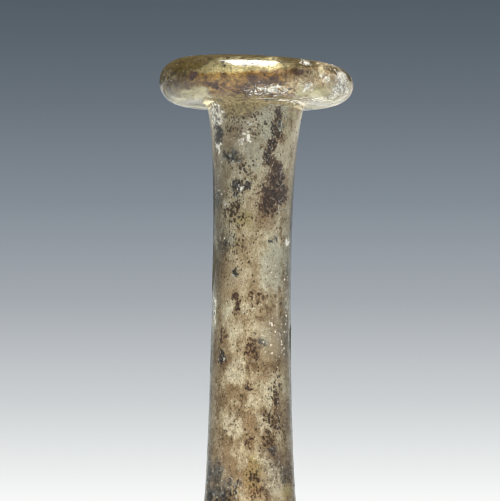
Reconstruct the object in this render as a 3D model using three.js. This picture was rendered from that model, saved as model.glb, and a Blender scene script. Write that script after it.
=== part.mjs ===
// Glass unguentarium: a free-blown perfume bottle, one piece of glass, hollow and open at the mouth.
// A thick folded disc rim stands on a long tubular neck, which spreads into a bell-shaped body
// with a pushed-in underside. Millimetres, +Z up, origin at the centre of the resting ring.
import * as THREE from "three";

// Heights
const BODY_HEIGHT = 52; // from the resting ring to the root of the neck
const NECK_LENGTH = 79.5; // from its root to the underside of the rim
const RIM_THICKNESS = 8.5;
const RIM_DROOP = 0.35; // fall of the rim's edge below its root on the neck
const BELLY_HEIGHT = 9.5; // of the widest part of the body
const WAIST_BELOW_RIM = 29; // of the narrowest part of the neck
const UNDERSIDE_RISE = 3.2; // of the pushed-in centre over the resting ring

// Diameters, all on the outside of the glass
const BODY_DIAMETER = 58;
const RING_OUTER_DIAMETER = 42;
const RING_INNER_DIAMETER = 26;
const NECK_ROOT_DIAMETER = 18.4;
const WAIST_DIAMETER = 15.8;
const THROAT_DIAMETER = 19.2; // where the neck opens into the rim
const RIM_DIAMETER = 39;

// Thickness of the glass
const BASE_WALL = 3.4;
const BODY_WALL = 2.2;
const NECK_WALL = 3.1;

// Rounding of the rim
const RIM_EDGE_REACH = 5; // of its rounded edge, measured along the radius
const THROAT_FILLET = 1.3;
const LIP_ROUNDING = 2.2; // where the rim's top turns down into the mouth
const RIM_DISH = 0.9; // fall of the rim's top from its crown to the mouth

// What free blowing left uneven
const NECK_BEND = 1.4; // of the rim's centre towards +X
const BEND_POWER = 2; // how far up the neck the bend gathers
const RIM_TILT_DEGREES = 0.4; // down towards +X
const RIM_UNEVENNESS = 0.1; // the rim is thicker by this share at -X and thinner at +X

// Pull of the outline's curves, as shares of the stretch that each curve covers
const UNDERSIDE_PULL = 0.5;
const BELLY_PULL = 0.4;
const ROOT_PULL_BELOW = 0.45;
const ROOT_PULL_ABOVE = 0.14;
const WAIST_PULL_BELOW = 0.44;
const WAIST_PULL_ABOVE = 0.29;
const THROAT_PULL = 0.25;
const ROOT_SLOPE = 0.1; // spread of the neck at its root, in radius per height
const THROAT_SLOPE = 0.2; // the same where it meets the rim

// Facets
const ROUND_STEPS = 36;
const UNDERSIDE_STEPS = 4;
const HEEL_STEPS = 5;
const BODY_STEPS = 11;
const NECK_STEPS = 9;
const FLARE_STEPS = 7;
const FILLET_STEPS = 3;
const EDGE_STEPS = 12;
const CROWN_STEPS = 4;
const LIP_STEPS = 4;
const SAME_PLACE = 1e-6; // closer points are one

const bellyRadius = BODY_DIAMETER / 2;
const ringOuterRadius = RING_OUTER_DIAMETER / 2;
const ringInnerRadius = RING_INNER_DIAMETER / 2;
const rootRadius = NECK_ROOT_DIAMETER / 2;
const waistRadius = WAIST_DIAMETER / 2;
const throatRadius = THROAT_DIAMETER / 2;
const rimRadius = RIM_DIAMETER / 2;
const mouthRadius = throatRadius - NECK_WALL;

const rimUnderside = BODY_HEIGHT + NECK_LENGTH;
const rimTop = rimUnderside - RIM_DROOP + RIM_THICKNESS;
const rimMiddle = rimTop - RIM_THICKNESS / 2;
const waistHeight = rimUnderside - WAIST_BELOW_RIM;
const throatHeight = rimUnderside - THROAT_FILLET;

const point = (radius, height) => new THREE.Vector2(radius, height);

// The outside of the underside, body and neck, from the axis up to the throat.
function outerCurves() {
  const bellStretch = BODY_HEIGHT - BELLY_HEIGHT;
  const neckStretch = waistHeight - BODY_HEIGHT;
  const flareStretch = throatHeight - waistHeight;
  const rootBelow = ROOT_PULL_BELOW * bellStretch;
  const rootAbove = ROOT_PULL_ABOVE * neckStretch;
  const throatBelow = THROAT_PULL * flareStretch;
  const underside = new THREE.QuadraticBezierCurve(
    point(0, UNDERSIDE_RISE),
    point(ringInnerRadius * UNDERSIDE_PULL, UNDERSIDE_RISE),
    point(ringInnerRadius, 0),
  );
  const heel = new THREE.EllipseCurve(
    ringOuterRadius,
    BELLY_HEIGHT,
    bellyRadius - ringOuterRadius,
    BELLY_HEIGHT,
    -Math.PI / 2,
    0,
  );
  const bell = new THREE.CubicBezierCurve(
    point(bellyRadius, BELLY_HEIGHT),
    point(bellyRadius, BELLY_HEIGHT + BELLY_PULL * bellStretch),
    point(rootRadius + ROOT_SLOPE * rootBelow, BODY_HEIGHT - rootBelow),
    point(rootRadius, BODY_HEIGHT),
  );
  const neck = new THREE.CubicBezierCurve(
    point(rootRadius, BODY_HEIGHT),
    point(rootRadius - ROOT_SLOPE * rootAbove, BODY_HEIGHT + rootAbove),
    point(waistRadius, waistHeight - WAIST_PULL_BELOW * neckStretch),
    point(waistRadius, waistHeight),
  );
  const flare = new THREE.CubicBezierCurve(
    point(waistRadius, waistHeight),
    point(waistRadius, waistHeight + WAIST_PULL_ABOVE * flareStretch),
    point(throatRadius - THROAT_SLOPE * throatBelow, throatHeight - throatBelow),
    point(throatRadius, throatHeight),
  );
  return [
    [underside, UNDERSIDE_STEPS],
    [heel, HEEL_STEPS],
    [bell, BODY_STEPS],
    [neck, NECK_STEPS],
    [flare, FLARE_STEPS],
  ];
}

// The thickness of the glass at a height on the outside, thinnest around the belly.
function wallAt(height) {
  const upHeel = THREE.MathUtils.smoothstep(height, 0, BELLY_HEIGHT);
  const upBody = THREE.MathUtils.smoothstep(height, BELLY_HEIGHT, BODY_HEIGHT);
  const lower = THREE.MathUtils.lerp(BASE_WALL, BODY_WALL, upHeel);
  return THREE.MathUtils.lerp(lower, NECK_WALL, upBody);
}

// The same curves as places on the outside, each with its partner on the inside of the wall.
function wallPairs() {
  const pairs = [];
  for (const [curve, steps] of outerCurves()) {
    for (let step = 0; step <= steps; step++) {
      const outside = curve.getPoint(step / steps);
      const along = curve.getTangent(step / steps);
      const wall = wallAt(outside.y);
      const inside = point(outside.x - along.y * wall, outside.y + along.x * wall);
      const isNew = !pairs.length || pairs.at(-1).outside.distanceTo(outside) > SAME_PLACE;
      if (isNew) pairs.push({ outside, inside });
    }
  }
  return pairs;
}

// The rim, from the throat outwards, over its edge and back down into the mouth.
function rimOutline() {
  const quarter = Math.PI / 2;
  const filletCentre = throatRadius + THROAT_FILLET;
  const edgeCentre = rimRadius - RIM_EDGE_REACH;
  const lipCentre = mouthRadius + LIP_ROUNDING;
  const lipHeight = rimTop - RIM_DISH;
  const fillet = new THREE.EllipseCurve(
    filletCentre, throatHeight, THROAT_FILLET, THROAT_FILLET, 2 * quarter, quarter, true,
  );
  const edge = new THREE.EllipseCurve(
    edgeCentre, rimMiddle, RIM_EDGE_REACH, RIM_THICKNESS / 2, -quarter, quarter,
  );
  const crown = new THREE.CubicBezierCurve(
    point(edgeCentre, rimTop),
    point((edgeCentre + lipCentre) / 2, rimTop),
    point((edgeCentre + lipCentre) / 2, lipHeight),
    point(lipCentre, lipHeight),
  );
  const lip = new THREE.EllipseCurve(
    lipCentre, lipHeight - LIP_ROUNDING, LIP_ROUNDING, LIP_ROUNDING, quarter, 2 * quarter,
  );
  return [
    ...fillet.getPoints(FILLET_STEPS).slice(1),
    ...edge.getPoints(EDGE_STEPS),
    ...crown.getPoints(CROWN_STEPS).slice(1),
    ...lip.getPoints(LIP_STEPS).slice(1),
  ];
}

// Bends the neck, tilts the rim and makes it uneven, as free blowing does.
function leaveUneven(geometry) {
  const places = geometry.getAttribute("position");
  const fall = Math.tan(THREE.MathUtils.degToRad(RIM_TILT_DEGREES));
  for (let i = 0; i < places.count; i++) {
    const x = places.getX(i);
    const z = places.getZ(i);
    const upNeck = Math.max(0, (z - BODY_HEIGHT) / (rimTop - BODY_HEIGHT));
    const atRim = THREE.MathUtils.smoothstep(z, waistHeight, rimUnderside);
    const thicker = z > rimUnderside ? -RIM_UNEVENNESS * (x / rimRadius) * (z - rimUnderside) : 0;
    places.setX(i, x + NECK_BEND * upNeck ** BEND_POWER);
    places.setZ(i, z + thicker - fall * x * atRim);
  }
}

function glassVessel() {
  const pairs = wallPairs();
  const outline = [
    ...pairs.map((pair) => pair.outside),
    ...rimOutline(),
    ...pairs.map((pair) => pair.inside).reverse(),
  ];
  const geometry = new THREE.LatheGeometry(outline, ROUND_STEPS);
  geometry.rotateX(Math.PI / 2);
  leaveUneven(geometry);
  const weatheredGlass = new THREE.MeshStandardMaterial({
    color: 0xa79a78,
    roughness: 0.35,
    metalness: 0,
    transparent: true,
    opacity: 0.75,
  });
  const vessel = new THREE.Mesh(geometry, weatheredGlass);
  vessel.name = "glass_unguentarium";
  return vessel;
}

const unguentarium = new THREE.Group();
unguentarium.add(glassVessel());

export default unguentarium;
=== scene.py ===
"""Glass unguentarium: a free-blown perfume bottle of clear greenish glass, crusted inside its neck.

Metres, +Z up, origin at the centre of the resting ring, -Y towards the viewer.
"""

import logging
import math
from collections.abc import Callable, Sequence
from dataclasses import dataclass, field
from enum import Enum

import bpy
import numpy as np
from mathutils import Color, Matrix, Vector, noise


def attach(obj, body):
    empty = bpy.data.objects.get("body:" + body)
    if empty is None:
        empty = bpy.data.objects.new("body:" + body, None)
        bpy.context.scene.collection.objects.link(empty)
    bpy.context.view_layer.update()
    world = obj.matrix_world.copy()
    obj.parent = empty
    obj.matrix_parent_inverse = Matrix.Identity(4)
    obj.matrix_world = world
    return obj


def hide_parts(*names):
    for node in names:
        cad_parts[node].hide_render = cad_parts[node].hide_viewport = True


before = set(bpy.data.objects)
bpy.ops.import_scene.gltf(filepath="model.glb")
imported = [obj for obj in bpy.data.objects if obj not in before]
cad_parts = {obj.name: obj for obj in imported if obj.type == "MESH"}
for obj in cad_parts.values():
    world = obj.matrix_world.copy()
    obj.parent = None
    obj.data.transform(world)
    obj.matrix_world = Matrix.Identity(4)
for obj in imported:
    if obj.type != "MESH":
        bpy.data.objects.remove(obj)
log = logging.getLogger("unguentarium")

MM = 0.001
NODE = "glass_unguentarium"
Triple = tuple[float, float, float]
Colour = tuple[float, float, float, float]
Stops = tuple[tuple[float, Colour], ...]
Curve = Callable[[float], tuple[Vector, Vector]]

# Added before a number is cut to a whole one, so that rounding can't leave it one too low
NUDGE = 0.001


def paint(red: int, green: int, blue: int) -> Colour:
    """Turns a colour as a picture shows it, 0 to 255, into the linear one that shaders take.

    Args:
        red, green, blue: The colour as it is seen.

    Returns:
        The linear colour with full opacity.
    """
    seen = Color((red / 255, green / 255, blue / 255))
    return (*seen.from_srgb_to_scene_linear(), 1.0)


def stops(*rows: tuple[float, int, int, int]) -> Stops:
    """A ramp's stops: each row holds a place and the colour there as a picture shows it."""
    return tuple((place, paint(*colour)) for place, *colour in rows)


def operator(operation: str, flipped: bool = False) -> Callable[["Wire", "Wire | float"], "Wire"]:
    """Makes the method for one operator between a wire and another value.

    Args:
        operation: The Math node's operation.
        flipped: Whether the wire stands on the right.

    Returns:
        The method, which adds the Math node.
    """

    def join(wire: "Wire", value: "Wire | float") -> "Wire":
        """Adds the operator's Math node."""
        return wire.work_out(operation, value, wire) if flipped else wire.work_out(operation, wire, value)

    return join


class Wire:
    """A node's socket that can stand in an expression: each operation adds its own node."""

    def __init__(self, board: "Board", socket: bpy.types.NodeSocket) -> None:
        """Keeps the socket and the board that it is on."""
        self.board = board
        self.socket = socket

    def other(self, name: str) -> "Wire":
        """Another output of the same node."""
        return Wire(self.board, self.board.find(self.socket.node.outputs, name))

    def work_out(self, operation: str, *values: "Wire | float") -> "Wire":
        """Adds a Math node for the values."""
        return self.board.add("ShaderNodeMath", {"operation": operation}, dict(enumerate(values)))

    __add__ = operator("ADD")
    __radd__ = operator("ADD", flipped=True)
    __sub__ = operator("SUBTRACT")
    __rsub__ = operator("SUBTRACT", flipped=True)
    __mul__ = operator("MULTIPLY")
    __rmul__ = operator("MULTIPLY", flipped=True)
    __truediv__ = operator("DIVIDE")
    __rtruediv__ = operator("DIVIDE", flipped=True)
    __pow__ = operator("POWER")
    __mod__ = operator("FLOORED_MODULO")
    most = operator("MAXIMUM")

    def floor(self) -> "Wire":
        """The whole part."""
        return self.work_out("FLOOR", self)

    def cosine(self) -> "Wire":
        """The cosine of an angle in radians."""
        return self.work_out("COSINE", self)

    def sine(self) -> "Wire":
        """The sine of an angle in radians."""
        return self.work_out("SINE", self)

    def smooth(self, low: float, high: float) -> "Wire":
        """Rises smoothly from 0 at low to 1 at high."""
        return self.board.add(
            "ShaderNodeMapRange",
            {"interpolation_type": "SMOOTHSTEP"},
            {"Value": self, "From Min": low, "From Max": high},
        )


class Board:
    """A node tree, with the one method that adds any node to it."""

    def __init__(self, tree: bpy.types.NodeTree) -> None:
        """Takes the tree that the nodes go to."""
        self.tree = tree

    @staticmethod
    def find(sockets: Sequence[bpy.types.NodeSocket], key: str | int) -> bpy.types.NodeSocket:
        """Finds a socket in use by its name or its number.

        Args:
            sockets: A node's inputs or outputs.
            key: The socket's name, or its number among those in use.

        Returns:
            The socket.
        """
        used = [socket for socket in sockets if socket.enabled]
        if isinstance(key, int):
            return used[key]
        return next(socket for socket in used if socket.name == key)

    def add(
        self,
        kind: str,
        settings: dict[str, object] | None = None,
        sockets: dict[str | int, object] | None = None,
        output: str | int = 0,
    ) -> Wire:
        """Adds a node.

        Args:
            kind: The node's type.
            settings: Its properties, set first; "stops" are a ramp's (place, colour) pairs.
            sockets: Values or wires for its inputs, by name or number.
            output: The output to hand back, by name or number.

        Returns:
            That output as a wire, or the input of a node that ends its tree and has no outputs.
        """
        node = self.tree.nodes.new(kind)
        for name, value in (settings or {}).items():
            if name == "stops":
                self._set_stops(node.color_ramp, value)
            else:
                setattr(node, name, value)
        for key, value in (sockets or {}).items():
            socket = self.find(node.inputs, key)
            if isinstance(value, Wire):
                self.tree.links.new(value.socket, socket)
            else:
                socket.default_value = value
        return Wire(self, self.find(node.outputs or node.inputs, output))

    @staticmethod
    def _set_stops(ramp: bpy.types.ColorRamp, stops: Stops) -> None:
        """Gives a colour ramp its stops, two or more of them, from low to high."""
        while len(ramp.elements) < len(stops):
            ramp.elements.new(1.0)
        for element, (place, colour) in zip(ramp.elements, stops):
            element.position = place
            element.color = colour

    def vector(self, x: Wire | float, y: Wire | float, z: Wire | float) -> Wire:
        """A vector of three numbers."""
        return self.add("ShaderNodeCombineXYZ", sockets={0: x, 1: y, 2: z})

    def part(self, vector: Wire, axis: str) -> Wire:
        """A vector's number along one axis; the wire's other outputs are the other two."""
        return self.add("ShaderNodeSeparateXYZ", sockets={0: vector}, output=axis)

    def stretch(self, vector: Wire, factors: Sequence[float]) -> Wire:
        """A vector times a factor along each axis."""
        return self.add("ShaderNodeVectorMath", {"operation": "MULTIPLY"}, {0: vector, 1: tuple(factors)})

    def in_mm(self, vector: Wire) -> Wire:
        """A vector of metres in millimetres."""
        return self.stretch(vector, (1 / MM,) * 3)

    def noise(
        self, vector: Wire, size: float, detail: float = 2.0, rough: float = 0.5, output: int = 0
    ) -> Wire:
        """Cloudy noise around 0.5.

        Args:
            vector: Where it is read.
            size: Of its clouds, in the vector's own unit.
            detail: How many finer layers it has.
            rough: How strong the finer layers are.
            output: 0 for the number, 1 for the colour.

        Returns:
            The noise.
        """
        return self.add(
            "ShaderNodeTexNoise",
            sockets={"Vector": vector, "Scale": 1 / size, "Detail": detail, "Roughness": rough},
            output=output,
        )

    def warped(self, vector: Wire, size: float, reach: float) -> Wire:
        """A place pushed about by noise, so that what is read there gets ragged outlines.

        Args:
            vector: The place.
            size: Of the noise's clouds.
            reach: How far it pushes at most.

        Returns:
            The pushed place.
        """
        push = self.stretch(self.noise(vector, size, 3, 0.6, output=1), (2 * reach,) * 3)
        return self.add("ShaderNodeVectorMath", {"operation": "ADD"}, {0: vector, 1: push})

    def cells(self, vector: Wire, spacing: float) -> Wire:
        """How far the middle of the nearest of many scattered cells is, as a share of their spacing."""
        return self.add("ShaderNodeTexVoronoi", sockets={"Vector": vector, "Scale": 1 / spacing})

    def dots(self, vector: Wire, spacing: float, reach: Wire | float, uneven: float) -> Wire:
        """Scattered dots of uneven size.

        Args:
            vector: Where they are read.
            spacing: Between the dots.
            reach: Their mean radius as a share of the spacing; below 0 there are none.
            uneven: How much the radius varies from dot to dot.

        Returns:
            1 on a dot and 0 off it.
        """
        soft_edge = 0.07
        near = self.cells(vector, spacing)
        own = (near.other("Color") - 0.5) * uneven
        return (own + reach - near).smooth(0.0, soft_edge)

    def crumbs(self, vector: Wire, spacing: float) -> Wire:
        """A random number, 0 to 1, that is the same all over each crumb of a grainy crust."""
        return self.part(self.cells(vector, spacing).other("Color"), "X")

    def ramp(self, value: Wire, stops: Stops) -> Wire:
        """A colour read from a ramp."""
        return self.add("ShaderNodeValToRGB", {"stops": stops}, {0: value})

    def blend(self, share: Wire | float, under: Wire | Colour, over: Wire | Colour, way: str = "MIX") -> Wire:
        """Lays one colour over another.

        Args:
            share: How much of the upper one shows.
            under, over: The two colours.
            way: How they mix.

        Returns:
            The mixed colour.
        """
        settings = {"data_type": "RGBA", "blend_type": way}
        return self.add("ShaderNodeMix", settings, {"Factor": share, "A": under, "B": over})

    def grained(
        self, colour: Wire, grain: Wire, darkest: float, lightest: float, share: Wire | float = 1.0
    ) -> Wire:
        """Darkens and lightens a colour with fine grain.

        Args:
            colour: The colour.
            grain: Noise around 0.5.
            darkest, lightest: What the colour is multiplied by where the noise is low and high.
            share: How much of it shows.

        Returns:
            The grainy colour.
        """
        low, high = 0.41, 0.58
        greys = ((low, (darkest, darkest, darkest, 1.0)), (high, (lightest, lightest, lightest, 1.0)))
        return self.blend(share, colour, self.ramp(grain, greys), "MULTIPLY")

    def attribute(self, name: str) -> Wire:
        """A number that the piece's mesh carries."""
        return self.add("ShaderNodeAttribute", {"attribute_name": name}, output="Fac")

    def matter(
        self,
        colour: Wire | Colour,
        roughness: Wire | float,
        specular: float = 0.5,
        normal: Wire | None = None,
    ) -> Wire:
        """The shader of a surface that isn't clear.

        Args:
            colour: Its colour.
            roughness: How dull it is.
            specular: How strongly it mirrors.
            normal: Its fine relief, if it has any.

        Returns:
            The shader.
        """
        sockets = {"Base Color": colour, "Roughness": roughness, "Specular IOR Level": specular}
        if normal is not None:
            sockets["Normal"] = normal
        return self.add("ShaderNodeBsdfPrincipled", sockets=sockets)

    def layer(self, share: Wire, under: Wire, over: Wire) -> Wire:
        """Lays one shader over another."""
        return self.add("ShaderNodeMixShader", sockets={0: share, 1: under, 2: over})


class Dressing(Board):
    """The node board of one new material."""

    def __init__(self, name: str) -> None:
        """Makes the material with an empty board."""
        self.material = bpy.data.materials.new(name)
        self.material.use_nodes = True
        self.material.node_tree.nodes.clear()
        super().__init__(self.material.node_tree)

    def place(self) -> Wire:
        """Where a point of the piece lies, in millimetres."""
        return self.in_mm(self.add("ShaderNodeTexCoord", output="Object"))

    def bump(self, height: Wire, depth: float) -> Wire:
        """The normal of fine relief whose height runs from 0 to 1, and whose depth is in metres."""
        return self.add("ShaderNodeBump", sockets={"Distance": depth, "Height": height})

    def finish(self, shader: Wire) -> bpy.types.Material:
        """Ends the board in the material's surface."""
        self.add("ShaderNodeOutputMaterial", sockets={"Surface": shader})
        return self.material


class Recipe(Board):
    """A tree of Geometry Nodes with named inputs, run once to make a plain mesh."""

    def __init__(self, name: str) -> None:
        """Starts the tree with its way in and out."""
        super().__init__(bpy.data.node_groups.new(name, "GeometryNodeTree"))
        self.tree.interface.new_socket("Geometry", in_out="INPUT", socket_type="NodeSocketGeometry")
        self.tree.interface.new_socket("Geometry", in_out="OUTPUT", socket_type="NodeSocketGeometry")
        self.entry = self.tree.nodes.new("NodeGroupInput")
        self.values: dict[str, float] = {}

    def given(self) -> Wire:
        """The mesh that the recipe is given."""
        return Wire(self, self.entry.outputs["Geometry"])

    def size(self, name: str, value: float) -> Wire:
        """Adds a named input.

        Args:
            name: The input's name.
            value: What the modifier sets it to; a whole number makes a whole-number input.

        Returns:
            The input as a wire.
        """
        kind = "NodeSocketInt" if isinstance(value, int) else "NodeSocketFloat"
        socket = self.tree.interface.new_socket(name, in_out="INPUT", socket_type=kind)
        self.values[socket.identifier] = value
        return Wire(self, self.entry.outputs[name])

    def carried(self, name: str) -> Wire:
        """A number that the geometry carries under a name."""
        return self.add("GeometryNodeInputNamedAttribute", {"data_type": "FLOAT"}, {"Name": name})

    def store(self, geometry: Wire, name: str, value: Wire, domain: str = "POINT") -> Wire:
        """Keeps a number on the geometry under a name."""
        return self.add(
            "GeometryNodeStoreNamedAttribute",
            {"data_type": "FLOAT", "domain": domain},
            {"Geometry": geometry, "Name": name, "Value": value},
        )

    def chance(self, low: float, high: float, seed: int) -> Wire:
        """A random number for each element."""
        return self.add(
            "FunctionNodeRandomValue", {"data_type": "FLOAT"}, {"Min": low, "Max": high, "Seed": seed}
        )

    def wrap(self, columns: Wire, rows: Wire) -> tuple[Wire, Wire, Wire, Wire]:
        """A grid to be wrapped round the axis.

        Args:
            columns: How many steps it has around.
            rows: How many points it has in each column.

        Returns:
            The grid, each point's row, and how far its direction points to +X and to +Y.
        """
        grid = self.add("GeometryNodeMeshGrid", sockets={"Vertices X": columns + 1, "Vertices Y": rows})
        index = self.add("GeometryNodeInputIndex")
        turn = (index / rows + NUDGE).floor() / columns * -math.tau
        return grid, index % rows, turn.sine(), turn.cosine()

    def close(self, grid: Wire, place: Wire) -> Wire:
        """Moves the grid's points to their places and joins those that meet at its seams and poles."""
        moved = self.add("GeometryNodeSetPosition", sockets={"Geometry": grid, "Position": place})
        return self.add("GeometryNodeMergeByDistance", sockets={"Geometry": moved, "Distance": 0.001 * MM})

    def make(
        self,
        name: str,
        start: bpy.types.Mesh,
        geometry: Wire,
        materials: Sequence[tuple[bpy.types.Material, Wire | bool]],
    ) -> bpy.types.Object:
        """Runs the recipe and keeps what it makes as a plain mesh.

        Args:
            name: The piece's name.
            start: The mesh that the recipe is given.
            geometry: The finished geometry.
            materials: Each material with the faces that wear it; later ones lie over earlier ones.

        Returns:
            The new piece, at the origin.
        """
        geometry = self.add("GeometryNodeSetShadeSmooth", sockets={"Geometry": geometry})
        geometry = self.add("GeometryNodeRealizeInstances", sockets={"Geometry": geometry})
        for material, faces in materials:
            geometry = self.add(
                "GeometryNodeSetMaterial",
                sockets={"Geometry": geometry, "Selection": faces, "Material": material},
            )
        self.add("NodeGroupOutput", sockets={"Geometry": geometry})
        piece = bpy.data.objects.new(name, start)
        bpy.context.scene.collection.objects.link(piece)
        modifier = piece.modifiers.new(name, "NODES")
        modifier.node_group = self.tree
        for identifier, value in self.values.items():
            modifier[identifier] = value
        shaped = piece.evaluated_get(bpy.context.evaluated_depsgraph_get())
        mesh = bpy.data.meshes.new_from_object(shaped)
        # Where the nodes keep a slot for faces without a material, it comes first and stays empty
        if mesh.materials[0] is None:
            mesh.materials.pop(index=0)
        piece.modifiers.clear()
        piece.data = mesh
        mesh.name = name
        return piece


def bezier(*pulls: tuple[float, float]) -> Curve:
    """A Bezier curve through the first and last of its points, pulled by those between.

    Args:
        pulls: The points, as (radius, height).

    Returns:
        The curve, from a share along it to the point and the direction there.
    """

    def walk(share: float) -> tuple[Vector, Vector]:
        """The point and direction at a share of the curve."""
        points = [Vector(pull) for pull in pulls]
        while len(points) > 2:
            points = [near.lerp(far, share) for near, far in zip(points, points[1:])]
        return points[0].lerp(points[1], share), (points[1] - points[0]).normalized()

    return walk


def arc(centre: tuple[float, float], across: float, up: float, start: float, end: float) -> Curve:
    """A part of an ellipse.

    Args:
        centre: Its centre, as (radius, height).
        across, up: Its half widths.
        start, end: Where it starts and ends, in degrees from the outward direction.

    Returns:
        The curve, from a share along it to the point and the direction there.
    """

    def walk(share: float) -> tuple[Vector, Vector]:
        """The point and direction at a share of the arc."""
        angle = math.radians(start + (end - start) * share)
        turn = math.copysign(1.0, end - start)
        spot = Vector((centre[0] + across * math.cos(angle), centre[1] + up * math.sin(angle)))
        along = Vector((-across * math.sin(angle), up * math.cos(angle))) * turn
        return spot, along.normalized()

    return walk


def smoothstep(value: float, low: float, high: float) -> float:
    """Rises smoothly from 0 at low to 1 at high."""
    share = min(max((value - low) / (high - low), 0.0), 1.0)
    return share * share * (3 - 2 * share)


@dataclass(frozen=True)
class VesselSizes:
    """The vessel's sizes in metres, the same as its solid's, and the outline that they give."""

    body_height: float = 0.052
    neck_length: float = 0.0795
    rim_thickness: float = 0.0085
    rim_droop: float = 0.00035
    belly_height: float = 0.0095
    waist_below_rim: float = 0.029
    underside_rise: float = 0.0032
    belly_radius: float = 0.029
    ring_outer_radius: float = 0.021
    ring_inner_radius: float = 0.013
    root_radius: float = 0.0092
    waist_radius: float = 0.0079
    throat_radius: float = 0.0096
    rim_radius: float = 0.0195
    base_wall: float = 0.0034
    body_wall: float = 0.0022
    neck_wall: float = 0.0031
    rim_edge_reach: float = 0.005
    throat_fillet: float = 0.0013
    lip_rounding: float = 0.0022
    rim_dish: float = 0.0009
    neck_bend: float = 0.0014
    rim_fall: float = math.tan(math.radians(0.4))
    rim_unevenness: float = 0.1
    underside_pull: float = 0.5
    belly_pull: float = 0.4
    root_pull_below: float = 0.45
    root_pull_above: float = 0.14
    waist_pull_below: float = 0.44
    waist_pull_above: float = 0.29
    throat_pull: float = 0.25
    root_slope: float = 0.1
    throat_slope: float = 0.2

    @property
    def rim_underside(self) -> float:
        """Height of the rim's underside."""
        return self.body_height + self.neck_length

    @property
    def rim_top(self) -> float:
        """Height of the rim's crown."""
        return self.rim_underside - self.rim_droop + self.rim_thickness

    @property
    def rim_middle(self) -> float:
        """Height of the middle of the rim's edge."""
        return self.rim_top - self.rim_thickness / 2

    @property
    def waist_height(self) -> float:
        """Height of the narrowest part of the neck."""
        return self.rim_underside - self.waist_below_rim

    @property
    def throat_height(self) -> float:
        """Height at which the neck turns into the rim."""
        return self.rim_underside - self.throat_fillet

    def wall_curves(self) -> list[tuple[Curve, int]]:
        """The outside from the axis up to the throat, each curve with its number of steps."""
        bell = self.body_height - self.belly_height
        neck = self.waist_height - self.body_height
        flare = self.throat_height - self.waist_height
        below, above = self.root_pull_below * bell, self.root_pull_above * neck
        throat_below = self.throat_pull * flare
        underside = bezier(
            (0, self.underside_rise),
            (self.ring_inner_radius * self.underside_pull, self.underside_rise),
            (self.ring_inner_radius, 0),
        )
        ring = bezier((self.ring_inner_radius, 0), (self.ring_outer_radius, 0))
        heel = arc(
            (self.ring_outer_radius, self.belly_height),
            self.belly_radius - self.ring_outer_radius,
            self.belly_height,
            -90,
            0,
        )
        body = bezier(
            (self.belly_radius, self.belly_height),
            (self.belly_radius, self.belly_height + self.belly_pull * bell),
            (self.root_radius + self.root_slope * below, self.body_height - below),
            (self.root_radius, self.body_height),
        )
        tube = bezier(
            (self.root_radius, self.body_height),
            (self.root_radius - self.root_slope * above, self.body_height + above),
            (self.waist_radius, self.waist_height - self.waist_pull_below * neck),
            (self.waist_radius, self.waist_height),
        )
        spread = bezier(
            (self.waist_radius, self.waist_height),
            (self.waist_radius, self.waist_height + self.waist_pull_above * flare),
            (self.throat_radius - self.throat_slope * throat_below, self.throat_height - throat_below),
            (self.throat_radius, self.throat_height),
        )
        return [(underside, 10), (ring, 6), (heel, 14), (body, 40), (tube, 84), (spread, 48)]

    def rim_curves(self) -> list[tuple[Curve, int]]:
        """The rim from the throat over its edge and down into the mouth."""
        edge_centre = self.rim_radius - self.rim_edge_reach
        lip_centre = self.throat_radius - self.neck_wall + self.lip_rounding
        lip_height = self.rim_top - self.rim_dish
        halfway = (edge_centre + lip_centre) / 2
        fillet_centre = (self.throat_radius + self.throat_fillet, self.throat_height)
        fillet = arc(fillet_centre, self.throat_fillet, self.throat_fillet, 180, 90)
        edge_low = (edge_centre, self.rim_middle - self.rim_thickness / 2)
        shelf = bezier((fillet_centre[0], self.rim_underside), edge_low)
        edge = arc((edge_centre, self.rim_middle), self.rim_edge_reach, self.rim_thickness / 2, -90, 90)
        crown = bezier(
            (edge_centre, self.rim_top),
            (halfway, self.rim_top),
            (halfway, lip_height),
            (lip_centre, lip_height),
        )
        lip = arc((lip_centre, lip_height - self.lip_rounding), self.lip_rounding, self.lip_rounding, 90, 180)
        return [(fillet, 6), (shelf, 8), (edge, 44), (crown, 14), (lip, 10)]

    def wall_at(self, height: float) -> float:
        """Thickness of the glass at a height on the outside."""
        up_heel = smoothstep(height, 0, self.belly_height)
        up_body = smoothstep(height, self.belly_height, self.body_height)
        lower = self.base_wall + (self.body_wall - self.base_wall) * up_heel
        return lower + (self.neck_wall - lower) * up_body

    def outline(self) -> list[tuple[float, float, float]]:
        """The closed outline from the underside's centre to the floor's centre.

        Returns:
            Rows of (radius, height, inside), where inside is 1 on the inner wall and 0 elsewhere.
        """
        outer, inner = [], []
        for curve, steps in self.wall_curves():
            for step in range(1 if outer else 0, steps + 1):
                spot, along = curve(step / steps)
                wall = self.wall_at(spot.y)
                outer.append((spot.x, spot.y, 0.0))
                inner.append((spot.x - along.y * wall, spot.y + along.x * wall, 1.0))
        rim = [
            (*curve(step / steps)[0], 0.0)
            for curve, steps in self.rim_curves()
            for step in range(1, steps + 1)
        ]
        return [*outer, *rim[:-1], *reversed(inner)]

    def centre(self, height: np.ndarray | float) -> np.ndarray | float:
        """How far the bent neck's centre line lies towards +X at a height."""
        up = np.maximum(0, (height - self.body_height) / (self.rim_top - self.body_height))
        return self.neck_bend * up**2

    def leave_uneven(self, board: Board, x: Wire, y: Wire, z: Wire) -> Wire:
        """Bends the neck, tilts the rim and makes it uneven, as free blowing does.

        Args:
            board: The recipe's board.
            x, y, z: A place on the true turned form.

        Returns:
            The place on the real one.
        """
        up = ((z - self.body_height) / (self.rim_top - self.body_height)).most(0)
        at_rim = z.smooth(self.waist_height, self.rim_underside)
        thicker = (z - self.rim_underside).most(0) * x * (-self.rim_unevenness / self.rim_radius)
        return board.vector(x + up**2 * self.neck_bend, y, z + thicker - x * at_rim * self.rim_fall)


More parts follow.
